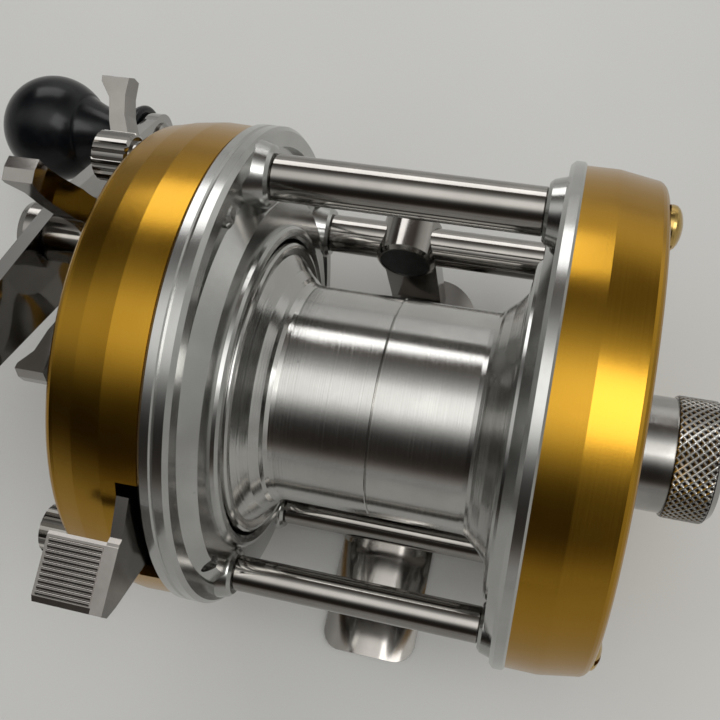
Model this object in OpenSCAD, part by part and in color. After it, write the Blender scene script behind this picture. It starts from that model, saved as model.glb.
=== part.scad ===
// Round baitcasting reel without a line guide, built as an assembly of separate pieces.
// X runs along the spool axis with the handle at -X, +Y is the front, +Z is up.
// The origin is the middle of the underside of the foot. Sizes are in millimetres.

/* [Frame] */
// Width over the outer faces of the two end plates
frame_w = 38.5; // [34:0.5:46]
// Diameter of the end plates
ring_d = 62; // [60:0.5:70]
// Height of the end plate centres above the underside of the foot
ring_h = 34; // [34:0.5:42]
// Sideways place of the frame's middle from the middle of the foot
mid_x = 1.2; // [0:0.1:3]
// Thickness of the rim of an end plate
rim_t = 1.8; // [1.4:0.1:3]
// Radial width of the raised rim
rim_w = 2.4; // [1.5:0.1:4]
// Thickness of the recessed band inside the rim
band_t = 1; // [0.8:0.1:1.3]
// How far the land round the spool stands in from the plate's outer face
land_in = 3; // [2.4:0.1:4]
// How far the bead round the spool stands in from the plate's outer face
bead_in = 3.9; // [3.2:0.1:5]
// Distance from the edge of an end plate to the axis of a pillar
pillar_inset = 4.3; // [4:0.1:6]
// Diameter of the two front pillars
pillar_front_d = 5.5; // [4:0.1:7]
// Diameter of the two rear pillars
pillar_rear_d = 4.5; // [3.8:0.1:6]
// Angle of the front upper pillar from straight up, towards the front
pillar_a1 = 38.5; // [34:0.5:44]
// Angle of the front lower pillar
pillar_a2 = 109.8; // [106:0.2:114]
// Angle of the rear upper pillar
pillar_a3 = -100.6; // [-104:0.2:-97]
// Angle of the rear lower pillar
pillar_a4 = -147.9; // [-151:0.1:-144]
// Angle of the plate rivet from straight up, towards the front
rivet_a = 19; // [16:0.5:22]
// Length of a pillar boss, from the plate's outer face
boss_l = 3.6; // [3:0.1:5]

/* [Foot] */
// Width of the foot
foot_w = 14; // [12:0.5:18]
// Length of the foot behind the ring centres
foot_rear = 32.2; // [28:0.2:40]
// Length of the foot in front of the ring centres
foot_front = 29.8; // [28:0.2:40]
// Thickness of the foot at its middle line
foot_t = 2.9; // [2.2:0.1:2.9]
// Radius of the crown of the foot's upper face
foot_crown = 13; // [10:0.5:30]
// Sideways place of the front leg and its round boss
leg_x = -2.8; // [-4:0.1:2]
// Diameter of the round boss on the front lower pillar
post_d = 8.6; // [8.4:0.1:10]
// Tilt of the round boss above level
post_tilt = 6; // [0:1:20]
// Width of the front leg
leg_w = 8; // [6:0.1:8.4]

/* [Spool] */
// Diameter of the straight part of the spool drum
drum_d = 28.2; // [24:0.1:30]
// Length of the straight part of the spool drum
drum_l = 22.7; // [18:0.1:24]
// Diameter of the spool flanges
flange_d = 38.3; // [34:0.1:40]
// Radial running gap between a flange and its end plate
spool_gap = 0.35; // [0.3:0.05:0.6]
// Place of the spool axis towards the front from the ring centre
spool_y = -2.3; // [-3:0.1:0]
// Place of the spool axis above the ring centre
spool_z = -0.7; // [-1:0.1:1]
// Wall of the spool drum
drum_wall = 1.7; // [1.2:0.1:3]
// Diameter of the spool shaft
shaft_d = 3; // [2.6:0.1:3.2]

/* [Covers] */
// Depth of the palm side cover
palm_deep = 9.3; // [8:0.1:14]
// Depth of the handle side cover beyond its plate
cover_deep = 11.4; // [11.4:0.1:15]
// Thickness of the handle side plate
side_t = 1.75; // [1.4:0.05:1.9]
// Wall of both covers
cover_wall = 1.3; // [1:0.1:1.4]
// How far the covers lie inside the rims
cover_step = 0.4; // [0:0.1:1]
// Diameter of the palm side bearing cap
cap_d = 14.6; // [13:0.1:18]
// Length of the plain neck of the palm cap
cap_neck = 5.3; // [3:0.1:6]
// Length of the knurled part of the palm cap
cap_grip = 5.6; // [5:0.1:9]
// Diameter of the domed cover screws
screw_d = 5; // [4:0.1:5.4]
// Diameter of the fluted thumbscrews
thumb_d = 6; // [5:0.1:6.6]
// Length of a fluted thumbscrew head
thumb_l = 4.7; // [3:0.1:5]

/* [Drive] */
// Module of the gears
gear_m = 0.5; // [0.48:0.01:0.51]
// Teeth on the main gear
main_n = 52; // [48:1:53]
// Teeth on the pinion
pinion_n = 10; // [10:1:11]
// Direction of the drive shaft from the spool axis, from straight up towards the front
drive_a = 61.8; // [58:0.2:66]
// Diameter of the drive shaft
drive_d = 5; // [4.4:0.1:5.4]
// Radius of the star drag to its tips
star_r = 22; // [18:0.2:24]
// Angle of the first star arm from straight up, towards the front
star_a = 66.8; // [0:0.2:72]

/* [Handle] */
// Distance from the drive shaft to each knob
arm_r = 28.5; // [26:0.5:45]
// Angle of the front handle arm from straight up, towards the front
arm_a = 120; // [0:1:360]
// Thickness of the handle blade
blade_t = 2; // [1.5:0.1:3]
// Half width of the blade at its middle
blade_mid = 6.6; // [5.5:0.1:9]
// Half width of the blade at its ends
blade_end = 4.2; // [3.8:0.1:6]
// Diameter of the ball of a knob
knob_d = 16.4; // [14:0.1:20]
// Diameter of the neck of a knob
knob_neck = 8; // [7:0.1:10]
// Length of a knob
knob_l = 24; // [22:0.5:32]

/* [Clutch] */
// Width of the thumb pad along the spool axis
pad_w = 8.2; // [6:0.1:9]
// Length of the thumb pad
pad_l = 7.4; // [6.6:0.1:9]
// Thickness of the thumb lever
lever_t = 1.4; // [1:0.1:1.5]

/* [Hidden] */
// running clearance on a radius, and the seam between two loose flat faces
run = 0.05;
seam = 0.3;
ring_r = ring_d / 2;
rim_in = ring_r - rim_w;
fw = frame_w / 2;
drum_r = drum_d / 2;
flange_r = flange_d / 2;
open_r = flange_r + spool_gap;
pillar_r = ring_r - pillar_inset;
cover_r = ring_r - cover_step;
pillar_a = [pillar_a1, pillar_a2, pillar_a3, pillar_a4];
pillar_d = [pillar_front_d, pillar_front_d, pillar_rear_d, pillar_rear_d];
pillar_bore = 1.3;
rivet_r = pillar_r;
pillar_x = fw - boss_l;
thumb_a = [pillar_a1, pillar_a1 - 120, pillar_a1 + 120];
shaft_r = shaft_d / 2;
thin_r = 1.2;
drive_r = drive_d / 2;
gear_c = gear_m * (main_n + pinion_n) / 2;
spool_p = [spool_y, spool_z];
drive_p = [spool_y + gear_c * sin(drive_a), spool_z + gear_c * cos(drive_a)];
// planes outward from the middle on the handle side
h_plate = fw + side_t;
h_face = h_plate + cover_deep;
h_wall = 1.6;
p_face = fw + palm_deep;
gear_x = h_plate + 3.6;
gear_w = 2.6;
washer_t = 0.5;
washer_r = 9;
press_x = gear_x + gear_w + 2 * washer_t + 0.8;
star_x = h_face + 4.1;
star_h = 3;
blade_x = star_x + 9.4;
blade_out = blade_x + blade_t;
nut_l = 5.4;
knob_x = blade_out + 0.5;
arm_dir = [sin(arm_a), cos(arm_a)];
post_r = post_d / 2;
post_in = 3.5;
// clutch travel of the thumb lever and of the pinion
lever_x = h_plate + 0.55;
yoke_x = h_plate + 0.95;
yoke_t = 0.7;
yoke_lift = 1.2;
yoke_arm = 8;
post_pin = 1;

function on(r, a) = [r * sin(a), r * cos(a)];
function arc(c, r, a0, a1, n) =
    [for (i = [0 : n]) [c[0] + r * cos(a0 + (a1 - a0) * i / n), c[1] + r * sin(a0 + (a1 - a0) * i / n)]];

// moves to the side s (-1 handle, 1 palm): x counts outward from the middle, y and z from the ring axis
module side(s) translate([mid_x, 0, ring_h]) mirror([s < 0 ? 1 : 0, 0, 0]) children();
module at(p) translate([0, p[0], p[1]]) children();
// a solid turned about the X axis from [radius, x] points
module lathe(pts) rotate([0, 90, 0]) rotate_extrude($fn = 96) polygon(pts);
module rod(x0, x1, r) translate([x0, 0, 0]) rotate([0, 90, 0]) cylinder(h = x1 - x0, r = r, $fn = 64);
module tube(x0, x1, ro, ri) lathe([[ri, x0], [ro, x0], [ro, x1], [ri, x1]]);
// an outline drawn in (y, z), made solid from x0 to x1
module slab(x0, x1) translate([x0, 0, 0]) multmatrix([[0, 0, 1, 0], [1, 0, 0, 0], [0, 1, 0, 0]])
    linear_extrude(height = x1 - x0) children();

// ---- frame
module end_plate() difference() {
    union() {
        lathe([[rim_in, fw - rim_t], [ring_r - 0.5, fw - rim_t], [ring_r, fw - rim_t + 0.5],
            [ring_r, fw - 0.25], [ring_r - 0.25, fw], [rim_in, fw]]);
        intersection() {
            rod(fw - bead_in - 1, fw, rim_in + 0.2);
            at(spool_p) lathe(concat(
                [[open_r, fw - 1.4]],
                arc([open_r + 0.9, fw - bead_in + 0.9], 0.9, 180, 360, 6),
                [[open_r + 2.1, fw - land_in], [open_r + 5.2, fw - land_in],
                [open_r + 7.2, fw - band_t], [ring_r + 4, fw - band_t], [ring_r + 4, fw],
                [open_r + 8, fw], [open_r + 6.4, fw - 1.4]]));
        }
        intersection() {
            rod(fw - boss_l - 1, fw, ring_r - 0.25);
            for (i = [0 : 3]) at(on(pillar_r, pillar_a[i])) lathe([[0, pillar_x],
                [pillar_d[i] / 2 + 0.5, pillar_x], [pillar_d[i] / 2 + 0.9, pillar_x + 0.4],
                [pillar_d[i] / 2 + 1.7, fw - 0.6], [0, fw - 0.6]]);
        }
    }
    at(spool_p) rod(fw - bead_in - 2, fw + 1, open_r);
    for (i = [0 : 3]) at(on(pillar_r, pillar_a[i])) rod(pillar_x - 1, fw + 1, pillar_bore);
    at(on(rivet_r, rivet_a)) rod(fw - 5, fw + 1, 0.85);
}
module frame_plate_handle() color("silver") side(-1) difference() {
    end_plate();
    for (a = [thumb_a[1], thumb_a[2]]) at(on(pillar_r, a)) rod(fw - 5, fw + 1, pillar_bore);
    for (i = [1 : 3]) at(on(pillar_r, pillar_a[i])) rod(fw - 0.9, fw + 1, 2.05);
}
module frame_plate_palm() color("silver") side(1) difference() {
    end_plate();
    at(on(pillar_r, pillar_a[3])) rod(fw - 0.9, fw + 1, 2.05);
}
module pillar(i) side(1) at(on(pillar_r, pillar_a[i])) difference() {
    lathe([[0, -pillar_x], [pillar_d[i] / 2 - 0.2, -pillar_x], [pillar_d[i] / 2, 0.2 - pillar_x],
        [pillar_d[i] / 2, pillar_x - 0.2], [pillar_d[i] / 2 - 0.2, pillar_x], [0, pillar_x]]);
    rod(pillar_x - 8, pillar_x + 1, pillar_bore);
    rod(-pillar_x - 1, 8 - pillar_x, pillar_bore);
}
module pillar_front_upper() color("gray") pillar(0);
module pillar_front_lower() color("gray") pillar(1);
module pillar_rear_upper() color("gray") pillar(2);
module pillar_rear_lower() color("gray") pillar(3);
module flat_screw() difference() {
    union() {
        rod(fw - 0.85, fw - 0.05, 2);
        rod(pillar_x - 6, fw - 0.5, pillar_bore - run);
    }
    translate([fw - 0.4, -3, -0.3]) cube([1, 6, 0.6]);
}
module pillar_screws() color("dimgray") {
    side(-1) for (i = [1 : 3]) at(on(pillar_r, pillar_a[i])) flat_screw();
    side(1) at(on(pillar_r, pillar_a[3])) flat_screw();
}
// dimpled rivet beside the front upper boss, seen on the spool side of each plate
module plate_rivets() color("gainsboro") for (s = [-1, 1]) side(s) at(on(rivet_r, rivet_a))
    lathe([[0, fw - band_t - 0.35], [0.5, fw - band_t - 0.6], [1, fw - band_t - 0.6], [1.4, fw - band_t - 0.3],
        [1.4, fw - band_t], [0.8, fw - band_t], [0.8, fw - 0.1], [0, fw - 0.1]]);

// ---- foot
p2 = on(pillar_r, pillar_a2);
p4 = on(pillar_r, pillar_a4);
module post_axis() translate([mid_x + leg_x - 1.2, p2[0], ring_h + p2[1]]) rotate([90 - post_tilt, 0, 0]) children();
module foot() color("darkgray") difference() {
    union() {
        intersection() {
            linear_extrude(height = foot_t) union() {
                translate([-foot_w / 2, 3 - foot_rear]) square([foot_w, foot_rear + foot_front - 3 - foot_w / 2]);
                translate([3 - foot_w / 2, -foot_rear]) square([foot_w - 6, 4]);
                for (k = [-1, 1]) translate([k * (foot_w / 2 - 3), 3 - foot_rear]) circle(r = 3, $fn = 48);
                translate([0, foot_front - foot_w / 2]) circle(d = foot_w, $fn = 64);
            }
            translate([0, -foot_rear - 1, foot_t - foot_crown]) rotate([-90, 0, 0])
                cylinder(h = foot_rear + foot_front + 2, r = foot_crown, $fn = 96);
        }
        // rear saddle under the rear lower pillar
        translate([-rear_w / 2, p4[0] - saddle_h, 1])
            cube([rear_w, 2 * saddle_h, ring_h + p4[1] - 1 - 0.62 * pillar_rear_d / 2]);
        // front leg up to the round boss
        translate([mid_x + leg_x - 1.2, 0, 0]) rotate([90, 0, 90]) translate([0, 0, -leg_w / 2])
            linear_extrude(height = leg_w) polygon([[p2[0] - 8.5, 1], [p2[0] - 2.2, 4.5], [p2[0] - 1.6, 9],
            [p2[0] - 1.6, leg_top], [p2[0] + 1.6, leg_top], [p2[0] + 1.6, 1]]);
    }
    post_axis() cylinder(h = 20, r = post_r + 0.02, center = true, $fn = 64);
    translate([-40, p4[0], ring_h + p4[1]]) rotate([0, 90, 0])
        cylinder(h = 80, r = pillar_rear_d / 2 + 0.02, $fn = 64);
}
rear_w = 12.6;
saddle_h = 0.78 * pillar_rear_d / 2;
leg_top = ring_h + p2[1] - pillar_front_d / 2 - 0.3;
module foot_post() color("silver") difference() {
    post_axis() translate([0, 0, -post_in]) union() {
        cylinder(h = 0.5, r1 = post_r - 0.5, r2 = post_r, $fn = 64);
        translate([0, 0, 0.5]) cylinder(h = 2 * post_in - 1, r = post_r, $fn = 64);
        translate([0, 0, 2 * post_in - 0.5]) cylinder(h = 0.5, r1 = post_r, r2 = post_r - 0.5, $fn = 64);
    }
    post_axis() translate([0, 0, post_in - 0.4]) cylinder(h = 1, r = post_r - 0.75, $fn = 64);
    translate([-40, p2[0], ring_h + p2[1]]) rotate([0, 90, 0])
        cylinder(h = 80, r = pillar_front_d / 2 + 0.02, $fn = 64);
}
module foot_post_face() color("black") post_axis() translate([0, 0, post_in - 0.4])
    cylinder(h = 0.3, r = post_r - 0.78, $fn = 64);

// ---- palm side
cap_x = p_face + 0.4;
cap_end = cap_x + cap_neck + cap_grip;
sleeve_r = 5.6;
module palm_cover() color("goldenrod") side(1) difference() {
    lathe(concat(
        [[cover_r - cover_wall, fw], [cover_r, fw], [cover_r, fw + 3.8], [cover_r - 0.7, p_face - 1.3]],
        arc([cover_r - 2, p_face - 1.3], 1.3, 0, 90, 5),
        [[0, p_face], [0, p_face - 1.6], [cover_r - cover_wall - 2.2, p_face - 1.6], [cover_r - cover_wall - 0.9, p_face - 2.6],
        [cover_r - cover_wall, fw + 3.8]]));
    at(spool_p) rod(fw, p_face + 2, sleeve_r + 0.02);
    at(spool_p) rod(p_face - 0.4, p_face + 2, 8);
    for (i = [0 : 2]) at(on(pillar_r, pillar_a[i])) rod(fw, p_face + 2, pillar_bore + 0.1);
}
module palm_cover_screws() color("darkgoldenrod") side(1) for (i = [0 : 2])
    at(on(pillar_r, pillar_a[i])) difference() {
        lathe(concat([[0, pillar_x - 6], [pillar_bore - run, pillar_x - 6], [pillar_bore - run, p_face],
            [screw_d / 2, p_face], [screw_d / 2, p_face + 0.4]],
            [for (t = [15 : 15 : 75]) [screw_d / 2 * cos(t), p_face + 0.4 + 1.2 * sin(t)]],
            [[0, p_face + 1.6]]));
        rotate([35 + 50 * i, 0, 0]) translate([p_face + 0.8, -4, -0.35]) cube([2, 8, 0.7]);
    }
module palm_sleeve() color("silver") side(1) at(spool_p) difference() {
    union() {
        rod(fw + 2, cap_end - 4.2, sleeve_r);
        rod(p_face - 2.9, p_face - 1.6, 8);
    }
    rod(cap_x, cap_end, 5.02);
    rod(fw, cap_end, shaft_r + 0.6);
}
module bearing_outer(x, w, ro, ri) tube(x, x + w, ro, ri);
module balls(x, w, r, rb) for (k = [0 : 6]) rotate([k * 360 / 7, 0, 0]) translate([x + w / 2, r, 0]) sphere(r = rb, $fn = 24);
module palm_bearing_outer() color("gray") side(1) at(spool_p) tube(cap_x, cap_x + 3.2, 5, 4.05);
module palm_bearing_inner() color("gray") side(1) at(spool_p) tube(cap_x, cap_x + 3.2, 2.45, shaft_r + 0.02);
module palm_bearing_balls() color("white") side(1) at(spool_p) balls(cap_x, 3.2, 3.25, 0.75);
module brake_drum() color("silver") side(1) at(spool_p) difference() {
    rod(fw - 2.4, fw + 2, 9.3);
    rod(fw - 3, fw + 1, 8.3);
    rod(fw, fw + 3, shaft_r + 0.6);
}
module grip(x0, x1, r, n) for (k = [0 : n - 1]) rotate([k * 360 / n, 0, 0])
    translate([x0, r, 0]) rotate([45, 0, 0]) translate([0, -0.28, -0.28]) cube([x1 - x0, 0.56, 0.56]);
module palm_cap() color("lightgray") side(1) at(spool_p) difference() {
    lathe([[0, cap_x], [cap_d / 2 - 0.5, cap_x], [cap_d / 2 - 0.25, cap_x + 0.3], [cap_d / 2 - 0.25, cap_x + cap_neck],
        [cap_d / 2, cap_x + cap_neck], [cap_d / 2, cap_end - 0.7], [cap_d / 2 - 0.7, cap_end],
        [cap_d / 2 - 2.6, cap_end], [cap_d / 2 - 2.9, cap_end - 0.4], [0, cap_end - 0.4]]);
    rod(cap_x - 1, cap_end - 2.4, sleeve_r + run);
}
module palm_cap_disc() color("peru") side(1) at(spool_p) rod(cap_end - 2.9, cap_end - 2.4, 3);

// ---- handle side
sleeve_h = 5.6;
cap_top = h_face + 3.9;
module ts_holes(r) for (a = thumb_a) at(on(pillar_r, a)) rod(fw - 1, h_face + 2, r);
module handle_side_plate() color("silver") side(-1) difference() {
    lathe([[0, fw], [ring_r - 0.25, fw], [ring_r, fw + 0.25], [ring_r, h_plate - 0.5],
        [ring_r - 0.5, h_plate], [0, h_plate]]);
    at(spool_p) rod(fw - 1, h_plate + 1, 4.2);
    at(drive_p) rod(fw - 1, h_plate + 1, drive_r + 0.9);
    ts_holes(pillar_bore + 0.1);
}
module handle_cover() color("goldenrod") side(-1) difference() {
    union() {
        lathe(concat([[0, h_plate], [cover_r, h_plate], [cover_r + 0.1, h_plate + 4.2], [cover_r - 0.3, h_plate + 7.6],
            [cover_r - 0.85, h_face - 1.3]],
            arc([cover_r - 2.15, h_face - 1.3], 1.3, 0, 90, 5), [[0, h_face]]));
        at(drive_p) lathe([[0, h_face - 1], [8.4, h_face - 1], [8.4, h_face + 1.1], [7.8, h_face + 1.6], [0, h_face + 1.6]]);
    }
    lathe([[0, h_plate - 1], [cover_r - cover_wall, h_plate - 1], [cover_r - cover_wall, h_plate + 7.2],
        [cover_r - cover_wall - 1, h_face - h_wall], [0, h_face - h_wall]]);
    at(spool_p) rod(h_plate, h_face + 3, sleeve_h + 0.02);
    at(spool_p) rod(h_face, h_face + 3, 7.6);
    at(drive_p) rod(h_plate, h_face + 3, 4.62);
    ts_holes(pillar_bore + 0.1);
    // slot that the thumb lever passes through
    intersection() {
        tube(h_plate - 0.5, lever_x + lever_t + 0.5, ring_r + 2, 24);
        slab(h_plate - 1, lever_x + 3) polygon([[0, 0], on(60, slot_a0), on(60, (slot_a0 + slot_a1) / 2), on(60, slot_a1)]);
    }
}
slot_a0 = -45.5;
slot_a1 = -76;
module cover_bushing() color("peru") side(-1) at(drive_p) tube(h_face - h_wall, h_face + 1.6, 4.6, spacer_r + run);
module shaft_bushing() color("peru") side(-1) at(drive_p) tube(fw + 0.1, h_plate, drive_r + 0.88, drive_r + run);
spacer_r = drive_r + 1.1;
module handle_sleeve() color("silver") side(-1) at(spool_p) difference() {
    union() {
        rod(h_face - h_wall - 1, cap_top - 1.3, sleeve_h);
        rod(h_face - h_wall - 1, h_face - h_wall, 6.6);
    }
    rod(h_face - h_wall + 0.4, cap_top, 4.02);
    rod(h_plate, cap_top, thin_r + 0.6);
}
hb = h_face - h_wall + 0.4;
module handle_bearing_outer() color("gray") side(-1) at(spool_p) tube(hb, hb + 2.4, 4, 3.25);
module handle_bearing_inner() color("gray") side(-1) at(spool_p) tube(hb, hb + 2.4, 1.95, thin_r + 0.02);
module handle_bearing_balls() color("white") side(-1) at(spool_p) balls(hb, 2.4, 2.6, 0.6);
module handle_cap() color("lightgray") side(-1) at(spool_p) difference() {
    lathe([[0, h_face + 0.3], [cap_d / 2 - 0.3, h_face + 0.3], [cap_d / 2, h_face + 0.6], [cap_d / 2, cap_top - 0.5],
        [cap_d / 2 - 0.5, cap_top], [0, cap_top]]);
    rod(h_face, cap_top - 1, sleeve_h + run);
}
module thumbscrew(a) side(-1) at(on(pillar_r, a)) difference() {
    union() {
        rod(fw - 1.6, h_face + 0.1, pillar_bore - run);
        rod(h_face + 0.08, h_face + 0.9, thumb_d / 2 - 0.8);
        lathe([[0, h_face + 0.9], [thumb_d / 2 - 0.4, h_face + 0.9], [thumb_d / 2, h_face + 1.2],
            [thumb_d / 2, h_face + 0.6 + thumb_l], [thumb_d / 2 - 0.5, h_face + 0.9 + thumb_l], [0, h_face + 0.9 + thumb_l]]);
    }
    for (k = [0 : flutes - 1]) rotate([k * 360 / flutes, 0, 0])
        translate([h_face + 0.8, thumb_d / 2 + 0.1, 0]) rotate([45, 0, 0]) translate([0, -0.25, -0.25])
        cube([thumb_l + 1, 0.5, 0.5]);
}
flutes = 20;
module thumbscrew_front() color("silver") thumbscrew(thumb_a[0]);
module thumbscrew_rear() color("silver") thumbscrew(thumb_a[1]);
module thumbscrew_lower() color("silver") thumbscrew(thumb_a[2]);

// ---- clutch
yoke_a = drive_a - 90;
yoke_p = [spool_p + on(yoke_arm, yoke_a), spool_p - on(yoke_arm, yoke_a)];
module yoke_posts() color("gray") side(-1) for (p = yoke_p) at(p) {
    rod(h_plate, yoke_head, post_pin);
    rod(yoke_head - 0.1, yoke_head + 0.6, 1.8);
}
yoke_head = yoke_x + yoke_t + yoke_lift + 1.9;
module yoke_springs() color("gray") side(-1) for (p = yoke_p) at(p)
    tube(yoke_x + yoke_t + yoke_lift + 0.2, yoke_head - 0.12, 1.7, post_pin + run);
module yoke() color("peru") side(-1) difference() {
    at(spool_p) rotate([90 - yoke_a + 90, 0, 0]) slab(yoke_x, yoke_x + yoke_t) union() {
        translate([-2.4, -yoke_arm]) square([4.8, 2 * yoke_arm]);
        for (k = [-1, 1]) translate([0, k * yoke_arm]) circle(r = 2.4, $fn = 48);
        translate([0, 0]) circle(r = 4.2, $fn = 48);
    }
    at(spool_p) rod(yoke_x - 1, yoke_x + 2, 2.1);
    at(spool_p) rotate([90 - drive_a, 0, 0]) translate([yoke_x - 1, -12, -2.1]) cube([3, 12, 4.2]);
    for (p = yoke_p) at(p) rod(yoke_x - 1, yoke_x + 2, post_pin + run);
}
pin_x = fw + 0.35;
module spur(x0, x1, n, m, tip, root, half, turn) slab(x0, x1) polygon([for (i = [0 : n - 1]) for (k = [0 : 3])
    on(k == 1 || k == 2 ? tip : root, turn + i * 360 / n
        + (k == 0 ? -half[1] : k == 1 ? -half[0] : k == 2 ? half[0] : half[1]) * 180 / PI)]);
main_r = gear_m * main_n / 2;
pin_r = gear_m * pinion_n / 2;
// the pinion points a tooth, and the main gear a gap, along the line between the two shafts
module pinion() color("gold") side(-1) at(spool_p) difference() {
    union() {
        rod(pin_x - 0.55, h_plate + 0.65, 3.4);
        rod(h_plate + 0.6, yoke_x + yoke_t + 0.4, 1.9);
        spur(yoke_x + yoke_t + 0.35, gear_x + gear_w + 0.9, pinion_n, gear_m, pin_r + gear_m * 0.9,
            pin_r - gear_m * 1.15, [0.11 / (pin_r + 0.45) * 1, 0.4 / (pin_r - 0.5)], drive_a);
    }
    rod(0, 60, thin_r + run);
    rod(0, h_plate, shaft_r + 0.1);
    rotate([90, 0, 0]) translate([pin_x - 1, -5, -0.75]) cube([1.75, 10, 1.5]);
}
module clutch_pin() color("gray") side(-1) at(spool_p) translate([pin_x, 0, 0])
    cylinder(h = 6, r = 0.55, center = true, $fn = 32);
lever_dir = [-0.574, -0.819];
pad_y = -27.9;
pad_z = 19.4;
module thumb_lever() color("silver") side(-1) difference() {
    union() {
        slab(lever_x, lever_x + lever_t) polygon([on(23.5, -51), on(31.4, -47.5),
            [pad_y + 0.6, pad_z + 0.3], [pad_y, pad_z + 0.6], [pad_y - pad_l, pad_z - 0.2], [pad_y - pad_l, pad_z - 1.7],
            [pad_y - pad_l + 1.4, pad_z - 3.3], on(31.2, -68), on(23.5, -64)]);
        slab(lever_x, lever_x + pad_w) polygon([[pad_y - 0.4, pad_z - 0.9], [pad_y, pad_z + 0.4],
            [pad_y - 0.4, pad_z + 0.6], [pad_y - pad_l + 0.6, pad_z - 0.2], [pad_y - pad_l, pad_z - 0.7],
            [pad_y - pad_l, pad_z - 1.6]]);
        for (k = [0 : 9]) translate([lever_x + 1.6, pad_y - 0.9 - k * (pad_l - 1.6) / 9.5, pad_z + 0.42 - k * 0.075])
            rotate([0, 90, 0]) cylinder(h = pad_w - 2, r = 0.3, $fn = 16);
    }
}

// ---- spool
module spool() color("gainsboro") side(1) at(spool_p) lathe(concat(
    [[hub_bore, -5], [hub_r, -5], [drum_r - drum_wall, -6], [drum_r - drum_wall, -drum_l / 2],
    [flange_r - 3.2, -fl_x - 0.2], [flange_r - 1, -fl_out]],
    arc([flange_r - 0.75, 0.75 - fl_out], 0.75, 270, 360, 3), arc([flange_r - 0.7, -fl_x - 0.1], 0.7, 0, 90, 3),
    [[flange_r - 1.6, 0.35 - fl_x], [flange_r - 3.4, 1.9 - fl_x]],
    arc([drum_r + 1.6, -drum_l / 2 - 0.05], 1.6, 240, 180, 3),
    [[drum_r, -0.15], [drum_r - 0.15, 0], [drum_r, 0.15]],
    arc([drum_r + 1.6, drum_l / 2 + 0.05], 1.6, 180, 120, 3),
    [[flange_r - 3.4, fl_x - 1.9], [flange_r - 1.6, fl_x - 0.35]],
    arc([flange_r - 0.7, fl_x + 0.1], 0.7, 270, 360, 3), arc([flange_r - 0.75, fl_out - 0.75], 0.75, 0, 90, 3),
    [[flange_r - 1, fl_out], [flange_r - 3.2, fl_x + 0.2], [drum_r - drum_wall, drum_l / 2],
    [drum_r - drum_wall, 6], [hub_r, 5], [hub_bore, 5]]));
hub_bore = shaft_r + 0.02;
hub_r = shaft_r + 2;
fl_x = fw - bead_in + 0.35;
fl_out = fl_x + 1.3;
module spool_shaft() color("gray") side(-1) at(spool_p) difference() {
    lathe([[0, -cap_end + 3.1], [shaft_r - 0.4, -cap_end + 3.1], [shaft_r, -cap_end + 3.5], [shaft_r, pin_x + 1],
        [thin_r, pin_x + 1.3], [thin_r, cap_top - 1.7], [thin_r - 0.4, cap_top - 1.3], [0, cap_top - 1.3]]);
    translate([pin_x, 0, 0]) cylinder(h = 8, r = 0.56, center = true, $fn = 32);
}
block_x = fw - 0.9;
module brake_carrier() color("dimgray") side(1) at(spool_p) difference() {
    union() {
        rod(block_x - 1.2, block_x + 1.2, 3);
        translate([block_x, 0, 0]) cylinder(h = 14.4, r = 0.6, center = true, $fn = 32);
    }
    rod(0, 40, shaft_r + 0.02);
}
module block(k) side(1) at(spool_p) difference() {
    translate([block_x, 0, k > 0 ? 3.6 : -6.6]) cylinder(h = 3, r = 1.5, $fn = 48);
    translate([block_x, 0, 0]) cylinder(h = 20, r = 0.6 + run, center = true, $fn = 32);
}
module brake_block_a() color("brown") block(1);
module brake_block_b() color("brown") block(-1);

// ---- drive train
module drive_shaft() color("gray") side(-1) at(drive_p) lathe([[0, fw + 0.1], [drive_r - 0.3, fw + 0.1], [drive_r, fw + 0.4],
    [drive_r, blade_x], [drive_r - 0.5, blade_x], [drive_r - 0.5, blade_out + 3], [0, blade_out + 3]]);
module ratchet() color("gray") side(-1) at(drive_p) difference() {
    slab(h_plate + 0.4, h_plate + 1.4) polygon([for (i = [0 : 11]) for (k = [0, 1]) on(k == 0 ? 6 : 4.6, i * 30 + k * 26)]);
    rod(0, 60, drive_r + 0.02);
}
pawl_p = drive_p + [3.5, -10.2];
module ratchet_pawl() color("peru") side(-1) difference() {
    slab(h_plate + 0.4, h_plate + 1.3) at2(pawl_p) union() {
        circle(r = 2.2, $fn = 48);
        polygon([[0, 2.2], [-6.2, 4.6], [-7, 3.6], [-1, -2]]);
    }
    at(pawl_p) rod(0, 60, 1 + run);
}
module at2(p) translate(p) children();
module pawl_pin() color("gray") side(-1) at(pawl_p) {
    rod(h_plate, h_plate + 2, 1);
    rod(h_plate + 1.6, h_plate + 2, 1.7);
}
module main_gear() color("gold") side(-1) at(drive_p) difference() {
    spur(gear_x, gear_x + gear_w, main_n, gear_m, main_r + gear_m * 0.85, main_r - gear_m * 1.2,
        [0.13 / main_r, 0.3 / main_r], drive_a + 180 + 180 / main_n);
    rod(0, 60, drive_r + 0.02);
    tube(gear_x - 1, gear_x + 0.9, main_r - 2, 5);
}
module drag_washers_fibre() color("black") side(-1) at(drive_p) for (x = [gear_x + gear_w, press_x - washer_t])
    tube(x, x + washer_t, washer_r, drive_r + 0.02);
module drag_washers_steel() color("gray") side(-1) at(drive_p) {
    tube(gear_x + gear_w + washer_t, press_x - washer_t, washer_r, drive_r + 0.02);
    tube(press_x, press_x + 0.8, washer_r - 1, drive_r + 0.02);
}
module shaft_spacer() color("silver") side(-1) at(drive_p) {
    tube(h_plate + 1.4, gear_x, 4.2, drive_r + 0.02);
    tube(h_plate, h_plate + 0.4, 3.6, drive_r + 0.02);
    tube(press_x + 0.8, star_x - 1.4, spacer_r, drive_r + 0.02);
}
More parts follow.
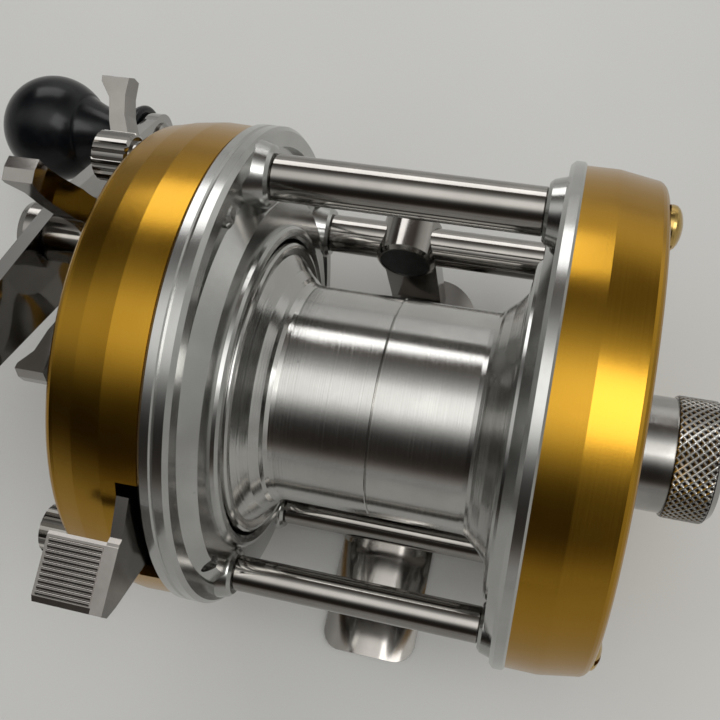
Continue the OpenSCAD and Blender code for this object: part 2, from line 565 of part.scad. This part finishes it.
module star_washers() color("gray") side(-1) at(drive_p) for (k = [0, 1])
    lathe([[drive_r + 0.02, star_x - 1.4 + 0.6 * k], [5, star_x - 1.4 + 0.6 * k],
        [5, star_x - 0.85 + 0.6 * k], [drive_r + 0.02, star_x - 0.85 + 0.6 * k]]);
// five arms: a curved dished shell cut to the star's outline
star_w = 1.5;
module star_outline() union() {
    circle(r = 8.6, $fn = 64);
    for (k = [0 : 4]) rotate(-star_a - 72 * k) difference() {
        polygon([[-6.4, 4.5], [-6.4, 8.6], [-star_w - 0.4, 13.5], [-star_w, star_r - 0.3], [0, star_r],
            [star_w, star_r - 0.3], [star_w + 0.4, 13.5], [6.4, 8.6], [6.4, 4.5]]);
        for (j = [-1, 1]) translate([8.64 * j, 11.9]) circle(r = 6.9, $fn = 64);
    }
}
module star_drag() color("silver") side(-1) at(drive_p) difference() {
    union() {
        intersection() {
            slab(star_x - 1, star_x + 12) star_outline();
            lathe([[0, star_x + 0.1], [6, star_x + 0.1], [9, star_x + 0.7], [13, star_x + 2.4], [17, star_x + 3.9],
                [19.5, star_x + 4.2], [star_r + 1, star_x + 3.9], [star_r + 1, star_x + 7.9], [star_r - 1, star_x + 7.8],
                [19, star_x + 6.4], [16, star_x + 5.9], [12, star_x + 4.6], [8.6, star_x + 3.2], [5, star_x + 3],
                [0, star_x + 3]]);
        }
        rod(star_x + 0.1, star_x + 6, 4.6);
    }
    rod(star_x - 1, star_x + 9, drive_r + run);
}
module handle_spacer() color("silver") side(-1) at(drive_p) tube(star_x + 6.3, blade_x, drive_r + 1, drive_r + 0.02);
blade_tan = asin((blade_mid - blade_end) / arm_r);
module handle_blade() color("lightgray") side(-1) at(drive_p) difference() {
    union() {
        rod(blade_x, blade_out, blade_mid);
        for (s = [-1, 1]) at(on(s * arm_r, arm_a)) rod(blade_x, blade_out, blade_end);
        slab(blade_x, blade_out) polygon([for (s = [1, -1]) for (q = [[0, 1], [1, 1], [1, -1], [0, -1]])
            q[0] * on(s * arm_r, arm_a)
            + on((q[0] == 0 ? blade_mid : blade_end) - 0.2, arm_a + 90 * s - 90 + q[1] * (90 - blade_tan))]);
    }
    rod(0, 90, drive_r - 0.48);
    for (s = [-1, 1]) at(on(s * arm_r, arm_a)) rod(0, 90, knob_pin + 0.02);
}
knob_pin = 1.8;
module handle_nut() color("silver") side(-1) at(drive_p) difference() {
    lathe([[0, blade_out], [4.2, blade_out], [4.6, blade_out + 0.4], [4.6, blade_out + 3.4], [4.2, blade_out + 4.4],
        [3, blade_out + 5.1], [1.6, blade_out + nut_l], [0, blade_out + nut_l]]);
    rod(blade_out - 1, blade_out + 3.2, drive_r - 0.48);
}
ball_r = knob_d / 2;
neck_r = knob_neck / 2;
ball_x = knob_x + knob_l - ball_r;
module knob_post(s) side(-1) at(drive_p + on(s * arm_r, arm_a)) lathe([[0, blade_x - 0.7], [2.5, blade_x - 0.7],
    [2.9, blade_x - 0.3], [2.9, blade_x], [knob_pin, blade_x], [knob_pin, blade_out], [3, blade_out], [3, blade_out + 0.35],
    [knob_pin, blade_out + 0.35], [knob_pin, ball_x - 1], [2.8, ball_x - 1], [2.8, ball_x], [0, ball_x]]);
module knob(s) side(-1) at(drive_p + on(s * arm_r, arm_a)) difference() {
    lathe(concat([[0, knob_x], [4.7, knob_x], [5.2, knob_x + 0.5], [5.1, knob_x + 1.2], [neck_r + 0.3, knob_x + 2.8],
        [neck_r, knob_x + 5], [neck_r + 0.2, knob_x + 6.8], [neck_r + 0.9, ball_x - ball_r * 0.95],
        [neck_r + 2, ball_x - ball_r * 0.76]],
        [for (t = [-40 : 10 : 80]) [ball_r * cos(t), ball_x + ball_r * sin(t)]], [[0, ball_x + ball_r]]));
    rod(0, ball_x - 0.9, knob_pin + run);
    rod(ball_x - 1.1, ball_x + 0.1, 2.85);
}
module knob_post_front() color("silver") knob_post(1);
module knob_post_rear() color("silver") knob_post(-1);
module knob_front() color("black") knob(1);
module knob_rear() color("black") knob(-1);

frame_plate_handle();
frame_plate_palm();
pillar_front_upper();
pillar_front_lower();
pillar_rear_upper();
pillar_rear_lower();
pillar_screws();
plate_rivets();
foot();
foot_post();
foot_post_face();
palm_cover();
palm_cover_screws();
palm_sleeve();
palm_bearing_outer();
palm_bearing_inner();
palm_bearing_balls();
brake_drum();
handle_side_plate();
handle_cover();
cover_bushing();
shaft_bushing();
handle_sleeve();
handle_bearing_outer();
handle_bearing_inner();
handle_bearing_balls();
yoke_posts();
yoke_springs();
yoke();
pinion();
spool();
spool_shaft();
clutch_pin();
brake_carrier();
brake_block_a();
brake_block_b();
drive_shaft();
ratchet();
ratchet_pawl();
pawl_pin();
main_gear();
drag_washers_fibre();
drag_washers_steel();
shaft_spacer();
star_washers();
star_drag();
handle_spacer();
handle_blade();
handle_nut();
knob_post_front();
knob_post_rear();
knob_front();
knob_rear();
thumb_lever();
palm_cap();
palm_cap_disc();
handle_cap();
thumbscrew_front();
thumbscrew_rear();
thumbscrew_lower();
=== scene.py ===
import math

import bpy
from mathutils import Euler, Matrix, Vector


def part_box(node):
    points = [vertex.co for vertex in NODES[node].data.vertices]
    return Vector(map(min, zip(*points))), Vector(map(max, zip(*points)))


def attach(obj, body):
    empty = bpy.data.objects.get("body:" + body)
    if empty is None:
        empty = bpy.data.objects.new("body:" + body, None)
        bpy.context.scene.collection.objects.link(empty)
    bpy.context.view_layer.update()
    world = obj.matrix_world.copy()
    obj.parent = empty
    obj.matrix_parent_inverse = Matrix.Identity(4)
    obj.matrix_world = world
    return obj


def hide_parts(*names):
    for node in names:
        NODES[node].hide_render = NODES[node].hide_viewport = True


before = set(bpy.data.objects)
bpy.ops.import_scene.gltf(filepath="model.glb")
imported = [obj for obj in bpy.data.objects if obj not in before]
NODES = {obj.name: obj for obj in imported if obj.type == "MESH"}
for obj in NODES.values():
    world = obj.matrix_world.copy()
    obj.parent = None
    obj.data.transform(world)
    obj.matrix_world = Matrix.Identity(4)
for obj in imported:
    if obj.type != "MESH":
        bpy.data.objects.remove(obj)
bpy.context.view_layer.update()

MM = 0.001


def mid(node):
    """The middle of a node's box."""
    lo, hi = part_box(node)
    return (Vector(lo) + Vector(hi)) / 2


RING = mid("frame_plate_palm")    # axis of the round frame
SPOOL = mid("spool")              # axis of the spool and of the two bearing caps
DRIVE = mid("handle_nut")         # axis of the handle

# ---------------------------------------------------------------- camera
CAMERA_AT = (0.02007, -0.03498, 0.14841)
CAMERA_TURN = (20.190, 7.6256, 12.6285)    # degrees about X, Y and Z, from looking straight down
CAMERA_LENS = 47.06                      # mm
SENSOR_WIDTH = 36                        # mm

cam = bpy.data.objects.new("camera", bpy.data.cameras.new("camera"))
bpy.context.scene.collection.objects.link(cam)
bpy.context.scene.camera = cam
cam.data.sensor_width = SENSOR_WIDTH
cam.data.lens = CAMERA_LENS
cam.data.clip_start = 0.005
cam.data.clip_end = 20
turn = Euler([math.radians(degrees) for degrees in CAMERA_TURN]).to_matrix()
cam.matrix_world = Matrix.Translation(CAMERA_AT) @ turn.to_4x4()


# ---------------------------------------------------------------- node helpers
class Tree:
    """Builds a node tree with short calls."""

    def __init__(self, tree):
        self.tree = tree

    def new(self, kind, inputs=(), **props):
        node = self.tree.nodes.new(kind)
        for key, value in props.items():
            setattr(node, key, value)
        for key, value in dict(inputs).items():
            self.put(node.inputs[key], value)
        return node

    def put(self, socket, value):
        """Links socket to value where value is a socket, and sets it otherwise."""
        if isinstance(value, bpy.types.NodeSocket):
            self.tree.links.new(value, socket)
        else:
            socket.default_value = value

    def math(self, operation, *values):
        node = self.new("ShaderNodeMath", operation=operation)
        for socket, value in zip(node.inputs, values):
            self.put(socket, value)
        return node.outputs[0]

    def ramp(self, fac, stops):
        """A smooth run of colours from (place, colour) stops."""
        node = self.new("ShaderNodeValToRGB", {"Fac": fac})
        node.color_ramp.interpolation = "B_SPLINE"
        elements = node.color_ramp.elements
        while len(elements) < len(stops):
            elements.new(0.5)
        for element, (place, colour) in zip(elements, stops):
            element.position = place
            element.color = (*colour, 1)
        return node.outputs["Color"]

    def range(self, value, start, end, lo, hi):
        """Goes smoothly from lo to hi as value goes from start to end."""
        inputs = {0: value, 1: start, 2: end, 3: lo, 4: hi}
        return self.new("ShaderNodeMapRange", inputs, interpolation_type="SMOOTHSTEP").outputs[0]

    def noise(self, vector, scale, detail, rough=0.5):
        """Noise in space."""
        inputs = {"Vector": vector, "Scale": scale, "Detail": detail, "Roughness": rough}
        return self.new("ShaderNodeTexNoise", inputs, noise_dimensions="3D").outputs[0]

    def line_noise(self, along, detail, rough):
        """Noise that changes with one number only, which draws lines."""
        inputs = {"W": along, "Scale": 1.0, "Detail": detail, "Roughness": rough}
        return self.new("ShaderNodeTexNoise", inputs, noise_dimensions="1D").outputs[0]

    def mix(self, fac, a, b, blend="MIX"):
        node = self.new("ShaderNodeMix", data_type="RGBA", blend_type=blend)
        self.put(node.inputs[0], fac)
        for index, value in ((6, a), (7, b)):
            self.put(node.inputs[index], value if isinstance(value, bpy.types.NodeSocket) else (*value, 1))
        return node.outputs[2]

    def wander(self, start, noise, amount):
        """start, moved up or down by up to half of amount where noise goes from 0 to 1."""
        return self.math("ADD", start, self.math("MULTIPLY", self.math("SUBTRACT", noise, 0.5), amount))


def material(name):
    """An empty material, with its tree, shader, object coordinates and their X, Y and Z."""
    mat = bpy.data.materials.new(name)
    mat.use_nodes = True
    mat.node_tree.nodes.clear()
    t = Tree(mat.node_tree)
    bsdf = t.new("ShaderNodeBsdfPrincipled")
    t.new("ShaderNodeOutputMaterial", {"Surface": bsdf.outputs[0]})
    co = t.new("ShaderNodeTexCoord").outputs["Object"]
    xyz = t.new("ShaderNodeSeparateXYZ", {0: co}).outputs
    return mat, t, bsdf, co, xyz


def radius(t, xyz, centre):
    """The distance from the line along X through centre."""
    y = t.math("SUBTRACT", xyz[1], centre.y)
    z = t.math("SUBTRACT", xyz[2], centre.z)
    return t.math("SQRT", t.math("ADD", t.math("MULTIPLY", y, y), t.math("MULTIPLY", z, z)))


def turning(t, xyz, r, slant, pitch):
    """A number that grows by 1 each pitch mm along X, and slant times as fast outward."""
    return t.math("MULTIPLY", t.math("ADD", xyz[0], t.math("MULTIPLY", r, slant)), 1 / (pitch * MM))


def relief(t, bsdf, height, distance=0.02 * MM, strength=1.0):
    """Bump of that height on the shader."""
    bump = t.new("ShaderNodeBump", {"Height": height, "Strength": strength, "Distance": distance})
    t.put(bsdf.inputs["Normal"], bump.outputs[0])


def metal(name, base, rough=0.2, centre=None, lines=0.0, pitch=0.16, smudge=0.06, grime=0.25, grain=0.0,
          spots=0.0):
    """A metal with lines across X, which are turned about centre where there is one.

    It also has smudges, a fine grain, and darker specks where spots is over 0.
    """
    mat, t, bsdf, co, xyz = material(name)
    bsdf.inputs["Metallic"].default_value = 1.0
    r = radius(t, xyz, centre) if centre else 0.0
    line = t.line_noise(turning(t, xyz, r, 1.37, pitch), detail=4.0, rough=0.7)
    cloud = t.noise(co, scale=160.0, detail=4.0, rough=0.6)
    fine = t.noise(co, scale=5200.0, detail=2.0)

    roughness = t.wander(t.wander(rough, cloud, smudge * 2), line, lines * 0.5)
    t.put(bsdf.inputs["Roughness"], t.math("MAXIMUM", roughness, 0.03))

    dark = tuple(c * (1 - grime) for c in base)
    colour = t.mix(t.range(cloud, 0.35, 0.75, 1.0, 0.0), base, dark)
    if spots:
        speck = t.new("ShaderNodeTexVoronoi", {"Vector": co, "Scale": 520.0}).outputs["Distance"]
        near = t.range(speck, 0.05, 0.1, 1.0, 0.0)
        where = t.range(cloud, 0.55, 0.66, 0.0, spots)
        colour = t.mix(t.math("MULTIPLY", near, where), colour, tuple(c * 0.35 for c in base))
    t.put(bsdf.inputs["Base Color"], colour)

    height = t.math("ADD", t.math("MULTIPLY", line, lines), t.math("MULTIPLY", fine, grain))
    relief(t, bsdf, t.math("ADD", height, t.math("MULTIPLY", cloud, 0.35 * smudge)))
    return mat


def gold(name, centre):
    """Gold anodised aluminium with fine turning lines about centre."""
    deep, light, pale = (0.365, 0.19, 0.016), (0.40, 0.215, 0.021), (0.44, 0.255, 0.036)
    mat, t, bsdf, co, xyz = material(name)
    line = t.line_noise(turning(t, xyz, radius(t, xyz, centre), 1.2, 0.12), detail=5.0, rough=0.75)
    cloud = t.noise(co, scale=110.0, detail=3.0)
    fine = t.noise(co, scale=4200.0, detail=2.0)
    bsdf.inputs["Metallic"].default_value = 1.0
    colour = t.mix(t.range(cloud, 0.3, 0.7, 0.0, 1.0), deep, light)
    t.put(bsdf.inputs["Base Color"], t.mix(t.range(line, 0.25, 0.75, 0.0, 0.35), colour, pale))
    t.put(bsdf.inputs["Roughness"], t.wander(t.wander(0.22, cloud, 0.10), line, 0.12))
    relief(t, bsdf, t.math("ADD", t.math("MULTIPLY", line, 0.10), t.math("MULTIPLY", fine, 0.10)))
    return mat


def plastic(name, base, rough, fleck=0.0, scale=900.0, shine=0.5):
    """A moulded plastic with lighter flecks and a slightly uneven face."""
    mat, t, bsdf, co, xyz = material(name)
    cloud = t.noise(co, scale=140.0, detail=4.0)
    fine = t.noise(co, scale=scale, detail=3.0)
    flecked = tuple(min(1, c * (1 + fleck) + 0.002) for c in base)
    t.put(bsdf.inputs["Base Color"], t.mix(t.range(fine, 0.4, 0.65, 0.0, 1.0), base, flecked))
    t.put(bsdf.inputs["Roughness"], t.wander(rough, cloud, 0.12))
    bsdf.inputs["Specular IOR Level"].default_value = shine
    height = t.math("ADD", t.math("MULTIPLY", fine, 0.4), t.math("MULTIPLY", cloud, 0.6))
    relief(t, bsdf, height, 0.03 * MM, 0.35)
    return mat


# ---------------------------------------------------------------- materials
satin = metal("satin_plate", (0.47, 0.47, 0.455), rough=0.19, centre=RING, lines=0.05, pitch=0.25,
              smudge=0.03, grime=0.12, grain=0.05, spots=0.35)
rimmed = metal("turned_rim", (0.50, 0.50, 0.485), rough=0.20, centre=RING, lines=0.06, pitch=0.12,
               smudge=0.03, grime=0.12, grain=0.04)
drum = metal("turned_spool", (0.50, 0.495, 0.475), rough=0.15, centre=SPOOL, lines=0.62, pitch=0.21,
             smudge=0.025, grime=0.12, grain=0.06, spots=0.4)
steel = metal("polished_steel", (0.33, 0.315, 0.295), rough=0.11, lines=0.03, pitch=0.09,
              smudge=0.04, grime=0.14)
mirror = metal("mirror_steel", (0.44, 0.43, 0.415), rough=0.08, centre=DRIVE, lines=0.02, pitch=0.2,
               smudge=0.05, grime=0.10)
cap_metal = metal("cap_steel", (0.42, 0.41, 0.39), rough=0.17, centre=SPOOL, lines=0.12, pitch=0.10)
plain = metal("plain_steel", (0.50, 0.50, 0.49), rough=0.28, centre=SPOOL, lines=0.10, pitch=0.15)
lever_steel = metal("lever_steel", (0.25, 0.235, 0.22), rough=0.20, lines=0.05, pitch=0.2, grain=0.05)
brass = metal("brass_screw", (0.66, 0.45, 0.15), rough=0.18, smudge=0.08, grime=0.35)
bronze = metal("bronze_part", (0.55, 0.36, 0.16), rough=0.28, centre=DRIVE, lines=0.1)
anodised = gold("gold_anodised", RING)
knob_black = plastic("knob_black", (0.003, 0.0035, 0.0045), 0.22, shine=0.22)
face_black = plastic("post_black", (0.012, 0.014, 0.014), 0.30, fleck=0.6)
fibre = plastic("pressed_fibre", (0.10, 0.06, 0.035), 0.75, fleck=0.8, scale=2500.0)

MADE_OF = (
    (satin, ["frame_plate_handle", "frame_plate_palm", "plate_rivets"]),
    (rimmed, ["handle_side_plate"]),
    (drum, ["spool", "brake_drum"]),
    (steel, ["pillar_front_upper", "pillar_front_lower", "pillar_rear_upper", "pillar_rear_lower",
             "foot", "foot_post", "star_drag", "thumbscrew_front", "thumbscrew_rear",
             "thumbscrew_lower", "knob_post_front", "knob_post_rear", "handle_nut", "handle_spacer"]),
    (lever_steel, ["thumb_lever"]),
    (mirror, ["handle_blade"]),
    (cap_metal, ["palm_cap", "handle_cap", "palm_sleeve", "handle_sleeve"]),
    (brass, ["palm_cover_screws"]),
    (bronze, ["cover_bushing", "shaft_bushing", "yoke", "ratchet_pawl", "pinion", "main_gear"]),
    (anodised, ["palm_cover", "handle_cover"]),
    (knob_black, ["knob_front", "knob_rear"]),
    (face_black, ["foot_post_face"]),
    (fibre, ["drag_washers_fibre", "palm_cap_disc", "brake_block_a", "brake_block_b"]),
)


def dress(obj, mat):
    obj.data.materials.clear()
    obj.data.materials.append(mat)


finish_of = {node: mat for mat, nodes in MADE_OF for node in nodes}
for node, obj in NODES.items():
    dress(obj, finish_of.get(node, plain))

# ---------------------------------------------------------------- softened edges on the CAD nodes
# How wide each node's edges are rounded, in mm
EDGE = {"star_drag": 0.55, "thumb_lever": 0.22, "handle_blade": 0.35, "foot": 0.5, "handle_nut": 0.3,
        "foot_post": 0.12, "palm_cover_screws": 0.08, "thumbscrew_front": 0.06, "thumbscrew_rear": 0.06,
        "thumbscrew_lower": 0.06, "frame_plate_handle": 0.15, "frame_plate_palm": 0.15}
FLAT_ANGLE = math.radians(0.4)    # faces that turn by less than this are joined into one
EDGE_ANGLE = math.radians(38)     # edges that turn by more than this are rounded

for node, width in EDGE.items():
    flat = NODES[node].modifiers.new("flat", "DECIMATE")
    flat.decimate_type = "DISSOLVE"
    flat.angle_limit = FLAT_ANGLE
    edge = NODES[node].modifiers.new("edge", "BEVEL")
    edge.width = width * MM
    edge.segments = 3
    edge.limit_method = "ANGLE"
    edge.angle_limit = EDGE_ANGLE
    edge.harden_normals = True


def ring_faces(rings, around):
    """Quads between rings of around points each."""
    faces = []
    for j in range(rings - 1):
        for i in range(around):
            k = (i + 1) % around
            faces.append((j * around + i, j * around + k, (j + 1) * around + k, (j + 1) * around + i))
    return faces


def add_mesh(name, verts, faces, mat, body, smooth=True):
    """A new piece that rides on body."""
    mesh = bpy.data.meshes.new(name)
    mesh.from_pydata(verts, [], faces)
    mesh.update()
    obj = bpy.data.objects.new(name, mesh)
    bpy.context.scene.collection.objects.link(obj)
    for face in mesh.polygons:
        face.use_smooth = smooth
    mesh.materials.append(mat)
    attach(obj, body)
    return obj


# ---------------------------------------------------------------- knurled bands
ROUND = 46             # knurl pitches round a cap
PER = 8                # mesh steps along one pitch of the knurl
RIDGE = 0.16 * MM      # height of the ridges over the plain cap
LIFT = 0.01 * MM       # height of the pits over the plain cap
FADE = 0.3 * MM        # how far from its ends a band reaches its full height
CREST = 0.06           # half width of a ridge's flat top, in pitches
FALL = 3.4             # how fast a ridge falls away beside its top, in ridge heights a pitch
cap_r = (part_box("palm_cap")[1][1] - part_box("palm_cap")[0][1]) / 2


def knurl_metal_with_painted_pit_shade():
    """Cap metal with shade painted near-black into the pits between the ridges."""
    mat = metal("knurled_steel", (0.42, 0.41, 0.39), rough=0.20, centre=SPOOL, lines=0.05, pitch=0.10,
                smudge=0.04)
    t = Tree(mat.node_tree)
    bsdf = next(node for node in mat.node_tree.nodes if node.type == "BSDF_PRINCIPLED")
    xyz = t.new("ShaderNodeSeparateXYZ", {0: t.new("ShaderNodeTexCoord").outputs["Object"]}).outputs
    # Painted shade: the pits take a near-black colour, and the ridge tops keep the bare metal colour.
    top = t.range(radius(t, xyz, SPOOL), cap_r + RIDGE * 0.15, cap_r + RIDGE * 0.75, 0.0, 1.0)
    bare = bsdf.inputs["Base Color"].links[0].from_socket
    t.put(bsdf.inputs["Base Color"], t.mix(top, (0.012, 0.010, 0.009), bare))
    return mat


def knurl(name, x0, x1, mat, body):
    """A band of crossing ridges round the spool axis, between x0 and x1."""
    around = ROUND * PER
    pitch = 2 * math.pi * cap_r / ROUND
    rows = max(8, int(round((x1 - x0) / pitch * PER)))
    verts = []
    for j in range(rows + 1):
        x = x0 + (x1 - x0) * j / rows
        fade = min(1.0, min(x - x0, x1 - x) / FADE)
        for i in range(around):
            a = 2 * math.pi * i / around
            p, q = i / PER, (x - x0) / pitch
            u, v = (p + q) % 1.0, (p - q) % 1.0
            from_ridge = min(min(u, 1 - u), min(v, 1 - v))
            height = RIDGE * max(0.0, 1 - FALL * max(0.0, from_ridge - CREST))
            r = cap_r + LIFT + height * fade
            verts.append((x, SPOOL.y + r * math.sin(a), SPOOL.z + r * math.cos(a)))
    return add_mesh(name, verts, ring_faces(rows + 1, around), mat, body, smooth=False)


knurled = knurl_metal_with_painted_pit_shade()
lo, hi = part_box("palm_cap")
knurl("palm_cap_knurl", hi[0] - 5.6 * MM, hi[0] - 0.7 * MM, knurled, "palm_cap")
lo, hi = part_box("handle_cap")
knurl("handle_cap_knurl", lo[0] + 0.6 * MM, hi[0] - 0.3 * MM, knurled, "handle_cap")


# ---------------------------------------------------------------- smooth knobs
def smooth_line(pts, steps=6):
    """A Catmull-Rom curve through pts."""
    out = []
    for k in range(len(pts) - 1):
        p0, p1, p2, p3 = (Vector(pts[min(max(k + j, 0), len(pts) - 1)]) for j in (-1, 0, 1, 2))
        for i in range(steps):
            s = i / steps
            out.append(0.5 * ((2 * p1) + (p2 - p0) * s + (2 * p0 - 5 * p1 + 4 * p2 - p3) * s ** 2
                              + (3 * p1 - p0 - 3 * p2 + p3) * s ** 3))
    return out + [Vector(pts[-1])]


def turned(name, centre, pts, mat, body, around=96):
    """A surface turned about the line along X through centre, from (radius, x) points."""
    verts = []
    for r, x in pts:
        for i in range(around):
            a = 2 * math.pi * i / around
            verts.append((x, centre.y + r * math.sin(a), centre.z + r * math.cos(a)))
    return add_mesh(name, verts, ring_faces(len(pts), around), mat, body)


# The neck of a knob, as radius and distance outward from its inner face, in mm
NECK = ((3.2, 0), (4.6, 0), (5.05, 0.25), (5.2, 0.7), (5.05, 1.3), (4.5, 2.4), (4.1, 4.0), (4.0, 5.5),
        (4.35, 7.2))
TIP = 0.02 * MM          # radius that closes the end of a knob
LEAST_R = 0.01 * MM      # least radius of a turned point

for side in ("front", "rear"):
    node = "knob_" + side
    lo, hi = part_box(node)
    ball_r = (hi[1] - lo[1]) / 2
    ball_x = lo[0] + ball_r
    inner = hi[0]
    outline = [(r * MM, inner - out * MM) for r, out in NECK]
    for degrees in range(-48, 91, 6):
        a = math.radians(degrees)
        outline.append((ball_r * math.cos(a), ball_x - ball_r * math.sin(a)))
    outline[-1] = (TIP, outline[-1][1])
    pts = [(max(p.x, LEAST_R), min(p.y, inner)) for p in smooth_line(outline)]
    piece = turned(node + "_turned", mid(node), pts, knob_black, node)
    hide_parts(node)

# ---------------------------------------------------------------- floor
table, t, bsdf, co, xyz = material("pale_table")
patches = t.range(t.noise(co, scale=9.0, detail=4.0), 0.3, 0.7, 0.0, 1.0)
t.put(bsdf.inputs["Base Color"], t.mix(patches, (0.53, 0.53, 0.515), (0.565, 0.565, 0.55)))
bsdf.inputs["Roughness"].default_value = 0.42
bsdf.inputs["Specular IOR Level"].default_value = 0.35
relief(t, bsdf, t.noise(co, scale=600.0, detail=3.0), 0.1 * MM, 0.1)
bpy.ops.mesh.primitive_plane_add(size=4, location=(0, 0, 0))
floor = bpy.context.object
floor.name = "table_top"
dress(floor, table)

# ---------------------------------------------------------------- world light
# A room, as brightness by the angle round the X axis from straight up: a bright light overhead, a dark
# warm side behind the reel, a dim band in front of it, and pale walls near the table.
ROOM = ((-180, 0.30), (-100, 0.34), (-86, 0.46), (-79, 0.20), (-72, 0.03), (-45, 0.02), (-35, 0.28),
        (-27, 0.95), (-17, 2.0), (2, 2.0), (11, 0.85), (22, 0.30), (34, 0.10), (56, 0.10), (68, 0.95),
        (84, 0.85), (100, 0.4))
STRENGTH = 2.5                 # of the world, which the ramp's colours are divided by
DIM = 0.2                      # brightness up to which the room's light is warm
WARM = (1.0, 0.82, 0.68)
PALE = (1.0, 0.995, 0.975)
RIGHT_WALL = (0.34, 0.34, 0.33)
END_WALL = (0.16, 0.16, 0.155)

world = bpy.data.worlds.new("studio")
bpy.context.scene.world = world
world.use_nodes = True
world.node_tree.nodes.clear()
t = Tree(world.node_tree)
way = t.new("ShaderNodeSeparateXYZ", {0: t.new("ShaderNodeTexCoord").outputs["Generated"]}).outputs
angle = t.math("MULTIPLY", t.math("ARCTAN2", way[1], way[2]), 180 / math.pi)
stops = []
for degrees, light in ROOM:
    tint = PALE if light > DIM else WARM
    stops.append(((degrees + 180) / 360, tuple(light / STRENGTH * c for c in tint)))
room = t.ramp(t.math("DIVIDE", t.math("ADD", angle, 180), 360), stops)
left = t.range(way[0], -0.75, 0.05, 0.35, 1.0)
shaded = t.mix(1.0, room, t.new("ShaderNodeCombineColor", {0: left, 1: left, 2: left}).outputs[0], "MULTIPLY")
right = t.math("MULTIPLY", t.range(way[0], 0.30, 0.75, 0.0, 1.0), t.range(way[2], 0.0, 0.4, 0.2, 0.75))
ends = t.range(t.math("ABSOLUTE", way[0]), 0.80, 0.97, 0.0, 1.0)
colour = t.mix(ends, t.mix(right, shaded, RIGHT_WALL), END_WALL)
background = t.new("ShaderNodeBackground", {"Color": colour, "Strength": STRENGTH})
t.new("ShaderNodeOutputWorld", {"Surface": background.outputs[0]})


# ---------------------------------------------------------------- lamps
def area(name, at, target, size, power):
    """A rectangular lamp at a place, turned to its target."""
    lamp = bpy.data.lights.new(name, "AREA")
    lamp.shape = "RECTANGLE"
    lamp.size, lamp.size_y = size
    lamp.energy = power
    obj = bpy.data.objects.new(name, lamp)
    bpy.context.scene.collection.objects.link(obj)
    obj.location = at
    obj.rotation_mode = "QUATERNION"
    obj.rotation_quaternion = (Vector(target) - Vector(at)).to_track_quat("-Z", "Y")


area("key", at=(-0.25, 0.75, 0.6), target=(0, 0, 0.02), size=(0.7, 0.4), power=2.4)
area("top", at=(0.45, -0.15, 0.9), target=(0.05, -0.03, 0.02), size=(0.5, 0.5), power=2.2)

bpy.context.scene.view_settings.view_transform = "Standard"
